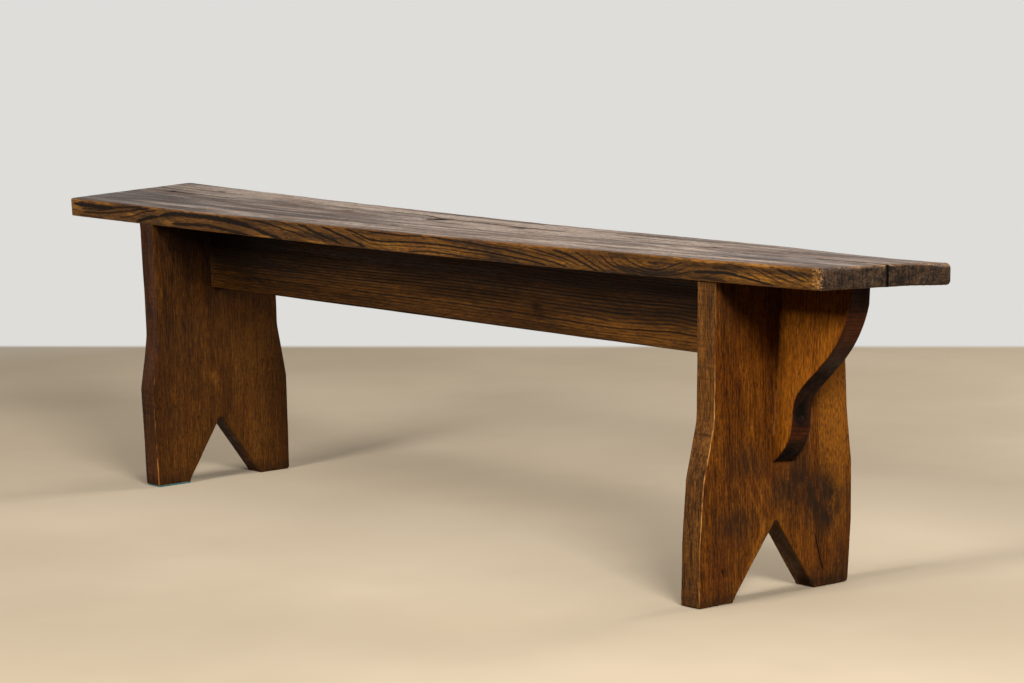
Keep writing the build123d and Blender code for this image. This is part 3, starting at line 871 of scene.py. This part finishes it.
def leg_corners(front_shares, rear_shares, knee, skew, bulge, lift, notch):
    """The sawn outline, from shares of half the width at the seat, waist, knee and floor. Below
    the knee the edges bulge a little, as a hand saw leaves them."""
    front = [MIDDLE_Y - HALF_WIDTH * s for s in front_shares]
    rear = [MIDDLE_Y + HALF_WIDTH * s for s in rear_shares]
    apex = (front[3] + rear[3]) / 2 + skew
    return [
        (front[3], lift, 2.5), (front[3] + notch[0], lift, 1.0), (apex, NOTCH_HEIGHT, 3),
        (rear[3] - notch[1], 0, 1.0), (rear[3], 0, 5),
        ((rear[2] + rear[3]) / 2 + bulge, knee / 2, 60), (rear[2], knee, 5),
        (rear[1], WAIST_HEIGHT, 90), (rear[0], UNDERSIDE, 0),
        (front[0], UNDERSIDE, 0), (front[1], WAIST_HEIGHT, 90), (front[2], knee, 5),
        ((front[2] + front[3]) / 2 - bulge, knee / 2, 60),
    ]


def left_bend(u, v, w):
    """The upper front corner of the left leg has warped outwards."""
    high = np.clip((v - 200) / (UNDERSIDE - 200), 0, 1)
    fore = np.clip((MIDDLE_Y - u) / HALF_WIDTH, 0, 1)
    return np.stack([-10.5 * high * fore, u * 0, u * 0], 1)


def leg_arris(u, v, side):
    return np.where(v > UNDERSIDE - 3, CRISP, 2.1 + 0.5 * np.sin(v / 31.0 + side))


def upright_rings(cell_u, cell_v, seed, sway, lean, width, swirl=()):
    """The layers of a board whose grain runs up: their noise, their slant and their width."""
    def rings(u, v, w):
        wave = face_noise(u, v, cell_u, cell_v, seed) * sway
        return (u + wave + spots(u, v, swirl) + lean * w) / width
    return rings


def under_seat(points):
    return fit_under_seat(points, 300.0)


def leg(node, outline_corners, middle, material, rings_seed, swirl, **rest):
    board(node + "_board", outline_corners, LEG_THICKNESS,
          lambda u, v, w: np.stack([middle + w, u, v], -1), node, "leg_wood", material,
          leg_arris, ((2.6, 7.0), (2.6, 7.0)), grain_axis=1, after=under_seat,
          rings=upright_rings(70, 190, rings_seed, 9, 0.5, 5.2, swirl), **rest)


def front_wall(u, v, w):
    return (u < -90) & (np.abs(w) < LEG_THICKNESS / 2 - 0.6)


def left_wear(u, v, w, arris):
    inner_front = (u < 0) & (w > 0)
    low = 0.5 + 0.5 * ease(200, 80, v)
    slope = spots(u, v, [(62, 22, 16, 20, 0.7)]) * (np.abs(w) < 16) * (u > 20) * (u < 80)
    return np.maximum(arris * np.where(inner_front, low, 0.35), slope)


def left_warmth(u, v, w):
    return 0.05 * front_wall(u, v, w) + spots(u, v, [(-70, 80, 40, 60, 0.12)])


def left_figure(u, v, w):
    return drawn(u, v, [(0.9, 0.6, -135, 278, -90, 279), (1.1, 0.6, -135, 233, -100, 234)])


leg(
    "left_leg",
    leg_corners((0.995, 1.01, 1.14, 1.105), (0.945, 0.965, 1.085, 1.087),
                knee=151, skew=-3.8, bulge=0.3, lift=2.0, notch=(58, 55)),
    LEFT_OUTER + LEG_THICKNESS / 2, left_wood, 21, [], wear=left_wear, relief=0.25, seed=12,
    bend=left_bend, warmth=left_warmth, figure=left_figure,
    tone=[
        # (-1.4, 159) is a painted highlight, a small glint; (-60, 390) is painted shade at the top
        # under the seat
        (-1.4, 159, 5, 7, 1.6), (50, 200, 50, 100, 0.45), (60, 60, 40, 60, 0.25),
        (-60, 390, 80, 50, -0.4), (-70, 60, 40, 70, 0.2), (-80, 260, 30, 110, -0.15),
    ],
    soil=[
        # (0, 395) is painted shade under the seat; the two spots after it darken the bottoms of the
        # feet
        (0, 395, 120, 45, 0.35), (-90, 8, 60, 10, 0.6), (105, 6, 60, 10, 0.6),
        (-80, 95, 22, 30, 0.4), (20, 330, 26, 40, 0.3),
    ],
)


def right_wear(u, v, w, arris):
    outer_front = (u < 0) & (w > 0)
    return arris * np.where(outer_front, 0.9 - 0.14 * np.sin(v / 23.0), 0.4)


def right_tone(u, v, w):
    streaks = strokes(u, v, [
        (1.8, 0.45, -51, 208, -44, 178, -33, 150, -14, 112),
        (1.6, 0.4, -60, 190, -52, 160, -42, 135, -26, 104),
        (1.6, 0.4, -40, 230, -34, 196, -24, 165, -6, 126),
        (1.6, 0.35, -68, 160, -58, 130, -44, 100), (5.0, 0.6, -20, 96, -34, 62, -48, 30),
    ])
    return streaks * (w > 0) + spots(u, v, [
        (104, 235, 24, 85, 1.0), (-92, 180, 14, 90, 0.25), (106, 120, 14, 50, 0.6),
        (60, 50, 30, 40, 0.1),
    ])


def right_soil(u, v, w):
    outer = np.where(w > -10, 1.0, 0.3)
    marks = spots(u, v, [
        (74, 120, 56, 40, 0.75), (90, 118, 30, 26, 0.35), (52, 142, 26, 22, 0.35),
        (92, 96, 30, 16, 0.35), (-48, 178, 30, 22, 0.75), (-66, 100, 32, 22, 0.9),
        (112, 26, 20, 30, 0.8), (88, 76, 22, 16, 0.45), (66, 20, 16, 14, 0.4),
        # (-50, 390) is painted shade under the seat's overhang; the two spots after it darken the
        # bottoms of the feet
        (-50, 390, 75, 40, 0.55), (-100, 6, 60, 9, 0.8), (80, 6, 60, 9, 0.8),
        (18, 150, 28, 26, 0.6), (48, 200, 12, 34, 0.7), (10, 128, 20, 16, 0.5),
        (-86, 40, 30, 20, 0.35),
    ])
    return marks * outer + 0.9 * hump(v, 219, 1.6) * front_wall(u, v, w)


def right_warmth(u, v, w):
    # The knee facet of the front wall is painted less warm, standing in for its sheen
    facet = front_wall(u, v, w) * ease(156, 164, v) * ease(222, 218, v)
    return spots(u, v, [
        (66, 44, 26, 30, 0.22), (-80, 40, 30, 50, 0.12), (34, 84, 14, 24, 0.2),
    ]) - 0.15 * facet


LEG_CHECK = (66.7, 71.6, 72, 50, 79.7, 21)


def right_figure(u, v, w):
    near, bold = drawn(u, v, [
        (1.2, 1.0, *LEG_CHECK), (2.2, 1.0, 59, 12, 64, 2), (1.6, 0.9, -113, 79, -111, 77),
        (1.8, 0.9, -122, 72, -119, 73), (2.6, 0.95, -95, 44, -90, 40),
        (1.5, 0.8, -87, 50, -85, 52), (1.2, 0.9, 30, 62, 38, 58), (0.7, 0.4, -60, 300, -60, 210),
        (0.7, 0.35, -20, 330, -22, 200), (0.7, 0.35, -84, 230, -82, 160),
    ])
    return np.where(w > 14, near, CLEAR), bold


leg(
    "right_leg",
    leg_corners((0.955, 1.02, 1.195, 1.303), (0.985, 1.03, 1.09, 1.0),
                knee=160, skew=5, bulge=2.6, lift=0.0, notch=(57, 60)),
    RIGHT_OUTER - LEG_THICKNESS / 2, right_wood, 33,
    [(-32, 165, 26, 45, 16), (40, 150, 30, 60, -12)], wear=right_wear, relief=0.28, seed=17,
    soil=right_soil, tone=right_tone, warmth=right_warmth, figure=right_figure,
    cracks=[(1.8, 1.5, LEG_CHECK, 4.0, 0.8)],
    dents=[(-116.8, 74.5, 18, 3.4, 2.8, 1.5, 1.0), (-92.4, 42.8, 18, 3.4, 2.6, 1.5, 1.0),
           (-108, 68, 18, 2, 1.6, 0.8, 0.8), (31.5, 60.7, 14, 6, 5, 1.5, 0.6)],
)


# The stretcher

def rail_rings(u, v, w):
    sway = face_noise(u, v, 330, 40, 55) * 4
    ripple = face_noise(u, v, 60, 30, 56) * 3 * ease(150, 500, u)
    return (v + sway + ripple + 0.4 * w) / 4.7


def rail_arris(u, v, side):
    joint = (v > UNDERSIDE - 3) | (u < LEFT_INNER + 1) | (u > RIGHT_INNER - 1)
    return np.where(joint, CRISP, 2.0)


def rail_wear(u, v, w, arris):
    return np.maximum(arris * 0.6, 1.1 * hump(u, LEFT_INNER, 2))


board(
    "stretcher_board",
    [(LEFT_INNER - SUNK, RAIL_LEFT_BOTTOM, 0), (RIGHT_INNER + SUNK, RAIL_RIGHT_BOTTOM, 0),
     (RIGHT_INNER + SUNK, UNDERSIDE, 0), (LEFT_INNER - SUNK, UNDERSIDE, 0)],
    RAIL_THICKNESS, lambda u, v, w: np.stack([u, MIDDLE_Y + RAIL_OFFSET - w, v], -1),
    "stretcher", "rail_wood", rail_wood, rail_arris, ((10.0, 3.0), (14.0, 5.0)), step=6.0,
    rings=rail_rings, wear=rail_wear, relief=0.3, seed=23, after=under_seat,
    # (-540, 370) is painted shade, darker at the left end under the seat
    tone=[(420, 320, 220, 16, 0.5), (-540, 370, 150, 70, -0.7)],
    soil=[(192, 334, 14, 12, 0.9), (-300, 318, 150, 6, 0.4), (60, 345, 200, 6, 0.4)],
)


# The ogee brackets

def arc_through(start, over, end, count):
    """Points of the circle through three points, without the first."""
    ratio = (end - start) / (over - start)
    middle = start + (over - start) * (abs(ratio) ** 2 - ratio) / (-2j * ratio.imag)
    sweep = cmath.phase((end - middle) / (start - middle))
    return [middle + (start - middle) * cmath.rect(1, sweep * k / count)
            for k in range(1, count + 1)]


def ogee():
    """The bracket's curved edge by reach from the leg and height against the seat, from its
    tail up."""
    def at(reach_share, drop_share):
        return complex(BRACKET_REACH * reach_share, -BRACKET_DROP * drop_share)
    edge, flank, hollow = at(1, 0.113), at(0.615, 0.465), at(0.365, 0.592)
    throat, below, tip = at(0.257, 0.725), at(0.257, 0.795), at(0.015, 1)
    curve = [edge] + arc_through(edge, at(0.868, 0.30), flank, 22) + [hollow]
    curve += arc_through(hollow, at(0.283, 0.655), throat, 9) + [below]
    curve += arc_through(below, at(0.185, 0.91), tip, 14)
    return curve[::-1]


def bracket_place(outer, side, offset, tilt):
    """u runs out from the leg, v up, w to the front on the right and to the back on the left."""
    a = math.radians(tilt)

    def place(u, v, w):
        across = -side * w
        y = MIDDLE_Y + offset + across * math.cos(a) - v * math.sin(a)
        z = UNDERSIDE + across * math.sin(a) + v * math.cos(a)
        return np.stack([outer + side * u, y, z], -1)
    return place


def bracket_arris(u, v, side):
    return np.where((v > -3) | (u < 0.5), CRISP, 1.6)


def on_edge(u, w):
    """Which points lie on the curved edge of a bracket."""
    return (np.abs(w) < 16.2) & (u > 1.5)


def bracket_soil(u, v, w):
    blot = 1.1 * hump(v, -170, 24) * hump(w, 2, 14)
    blot += 0.7 * hump(v, -128, 16) + 0.5 * hump(v, -225, 12)
    joint = strokes(u, v, [(3.2, 1.0, 0, 0, 0, -BRACKET_DROP)])
    # Darker at the tail's tip and in a band along the top, under the seat
    ends = spots(u, v, [(12, -232, 22, 12, 0.6), (100, -8, 60, 12, 0.4)])
    return on_edge(u, w) * blot + joint + ends


def bracket_wear(u, v, w, arris):
    # A painted highlight: a thin glint down the arris beside the leg
    glint = strokes(u, v, [(2.2, 1.5, 0.5, -206, 0.5, -148)]) * (w > 14)
    return np.maximum(arris * 0.55, glint)


def bracket_warmth(u, v, w):
    return on_edge(u, w) * spots(v, w, [(-60, 0, 30, 30, 0.3), (-200, 4, 10, 30, 0.35)])


def bracket_tone(u, v, w):
    return np.where(on_edge(u, w), 0.45 * hump(v, -48, 24) - 0.1, 0.3)


# Counter-clockwise from the tail, up the curved edge and back down the leg
bracket_corners = [(-SUNK, -BRACKET_DROP, 0)] + [(p.real, p.imag, 0) for p in ogee()]
bracket_corners += [(BRACKET_REACH, 0, 0), (-SUNK, 0, 0)]
for node, side, outer, offset, tilt in (
    ("right_bracket", 1, RIGHT_OUTER, 20.0, -5.0), ("left_bracket", -1, LEFT_OUTER, 3.0, 0.0),
):
    board(
        node + "_board", bracket_corners, BRACKET_THICKNESS,
        bracket_place(outer, side, offset, tilt), node, "bracket_wood", bracket_wood,
        bracket_arris, ((2.4, 6.0), (2.4, 6.0)), step=2.5, rows=1.5, grain_axis=1,
        rings=upright_rings(60, 160, 61 + side, 5, 0.4, 5.6), wear=bracket_wear,
        warmth=bracket_warmth, tone=bracket_tone, soil=bracket_soil, relief=0.22, seed=31 + side,
        after=lambda p: fit_under_seat(p, 330.0), dents=[(33.4, -181.6, 0, 5.6, 5.6, 1.0, 1.0)],
    )


# Steel and felt, on the CAD's own pieces

def steel():
    g = Graph(bpy.data.materials.new("screw_steel"))
    place = g.node("ShaderNodeTexCoord", {}).outputs["Object"]
    rust = g.noise(place, (1 / 700,) * 3, 4, 1.0)
    scratch = g.noise(place, (1 / 300, 1 / 4000, 1 / 300), 2, 2.0)
    colour = g.mix(g.span(rust, 0.34, 0.5), srgb(92, 80, 66), srgb(34, 22, 15))
    rough = g.plus(g.span(rust, 0.4, 0.65, 0.28, 0.65), g.times(scratch, 0.08))
    return g.surface(colour, rough, g.plus(rust, scratch), 0.3, 0.0002, {"Metallic": 1.0})


def felt():
    g = Graph(bpy.data.materials.new("felt"))
    place = g.node("ShaderNodeTexCoord", {}).outputs["Object"]
    fibre = g.noise(place, (1 / 1500, 1 / 1500, 1 / 900), 4, 3.0)
    colour = g.mix(g.span(fibre, 0.35, 0.65), srgb(22, 66, 66), srgb(60, 138, 134))
    return g.surface(colour, 0.95, fibre, 0.6, 0.0004, {"Sheen Weight": 0.4})


def dress(node, material):
    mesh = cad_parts[node].data
    mesh.materials.clear()
    mesh.materials.append(material)


screw_steel = steel()
dress("bracket_tail_screws", screw_steel)
dress("stretcher_screws", screw_steel)
dress("foot_pad", felt())


# The studio: a pale floor that fades into a pale backdrop

PALE = srgb(222, 221, 218)


def reach(g, place, direction):
    made = g.node("ShaderNodeVectorMath", {0: place, 1: direction}, operation="DOT_PRODUCT")
    return made.outputs["Value"]


def seen_by(g, glossy_share=None):
    """1 for rays that see the studio itself, and 0 for those that only light the bench."""
    ray = g.node("ShaderNodeLightPath", {}).outputs
    glossy = ray["Is Glossy Ray"]
    if glossy_share:
        glossy = g.times(glossy, glossy_share)
    return g.most(g.most(ray["Is Camera Ray"], glossy), ray["Is Transmission Ray"])


def studio_floor():
    g = Graph(bpy.data.materials.new("studio_floor"))
    place = g.node("ShaderNodeTexCoord", {}).outputs["Object"]
    cloudy = g.noise(place, (1 / 1.3,) * 3, 4, 5.0)
    colour = g.mix(g.span(cloudy, 0.3, 0.7), srgb(190, 171, 144), srgb(204, 185, 158))
    shown = seen_by(g)
    colour = g.mix(shown, srgb(64, 56, 48), colour)
    matt = g.shader(colour, 0.8, {"Specular IOR Level": 0.2})
    pale = g.node("ShaderNodeEmission", {"Color": PALE, "Strength": 1.0})
    away = g.node("ShaderNodeVectorMath", {0: place}, operation="LENGTH").outputs["Value"]
    behind = reach(g, place, (-0.6498, 0.7601, 0))
    fade = g.most(g.span(away, 2.0, 3.7), g.span(behind, 1.93, 1.99))
    both = g.node("ShaderNodeMixShader", {0: g.times(fade, shown), 1: matt, 2: pale.outputs[0]})
    return g.finish(both.outputs[0])


def studio_world():
    """Bright behind the bench and dim in front of it, as its reflections show."""
    g = Graph(bpy.data.worlds.new("studio"))
    toward = reach(g, g.node("ShaderNodeTexCoord", {}).outputs["Generated"], (-0.789, 0.614, 0.0))
    shown = seen_by(g, g.span(toward, -0.1, 0.5, 0.1, 1.0, "LINEAR"))
    ambient = g.node("ShaderNodeBackground", {"Color": (0.95, 0.97, 1.0, 1.0), "Strength": 0.035})
    backdrop = g.node("ShaderNodeBackground", {"Color": PALE, "Strength": 1.0})
    both = g.node("ShaderNodeMixShader", {
        0: shown, 1: ambient.outputs[0], 2: backdrop.outputs[0]})
    return g.finish(both.outputs[0], "ShaderNodeOutputWorld")


floor_mesh = bpy.data.meshes.new("studio_floor")
floor_mesh.from_pydata([(-40, -40, 0), (40, -40, 0), (40, 40, 0), (-40, 40, 0)], [], [(0, 1, 2, 3)])
floor_mesh.materials.append(studio_floor())
floor = add("studio_floor", floor_mesh)
# A hair below the feet, so that the two faces don't meet
floor.location.z = -0.0002
bpy.context.scene.world = studio_world()


def soft_box(name, place, aim, width, height, power):
    lamp = bpy.data.lights.new(name, "AREA")
    lamp.shape = "RECTANGLE"
    lamp.size, lamp.size_y = width, height
    lamp.energy = power
    held = add(name, lamp)
    held.location = place
    held.rotation_euler = (Vector(place) - Vector(aim)).to_track_quat("Z", "Y").to_euler()


soft_box("front_box", (0.3, -4.0, 2.45), (0.1, 0, 0.3), 1.3, 1.0, 145)
soft_box("right_box", (3.95, -1.55, 2.55), (0.4, 0, 0.3), 1.3, 1.0, 195)
soft_box("overhead", (0.2, 0.2, 3.2), (0, 0, 0), 3.0, 3.0, 28)
soft_box("back_box", (0.6, 3.7, 2.2), (0, 0, 0.3), 1.6, 1.2, 68)

# The camera that took the photograph: its place in metres, and its turns in radians
EYE, YAW, PITCH, ROLL = (4.08973, -3.07541, 0.93413), 0.91025, -0.12943, 0.02677
camera = bpy.data.cameras.new("camera")
camera.sensor_width = 36.0
camera.lens = 127.58
camera_object = add("camera", camera)
camera_object.matrix_world = (
    Matrix.Translation(EYE) @ Matrix.Rotation(YAW, 4, "Z") @ Matrix.Rotation(PITCH, 4, "X")
    @ Matrix.Rotation(ROLL, 4, "Y") @ Matrix.Rotation(math.pi / 2, 4, "X"))
bpy.context.scene.camera = camera_object
bpy.context.scene.view_settings.view_transform = "Standard"
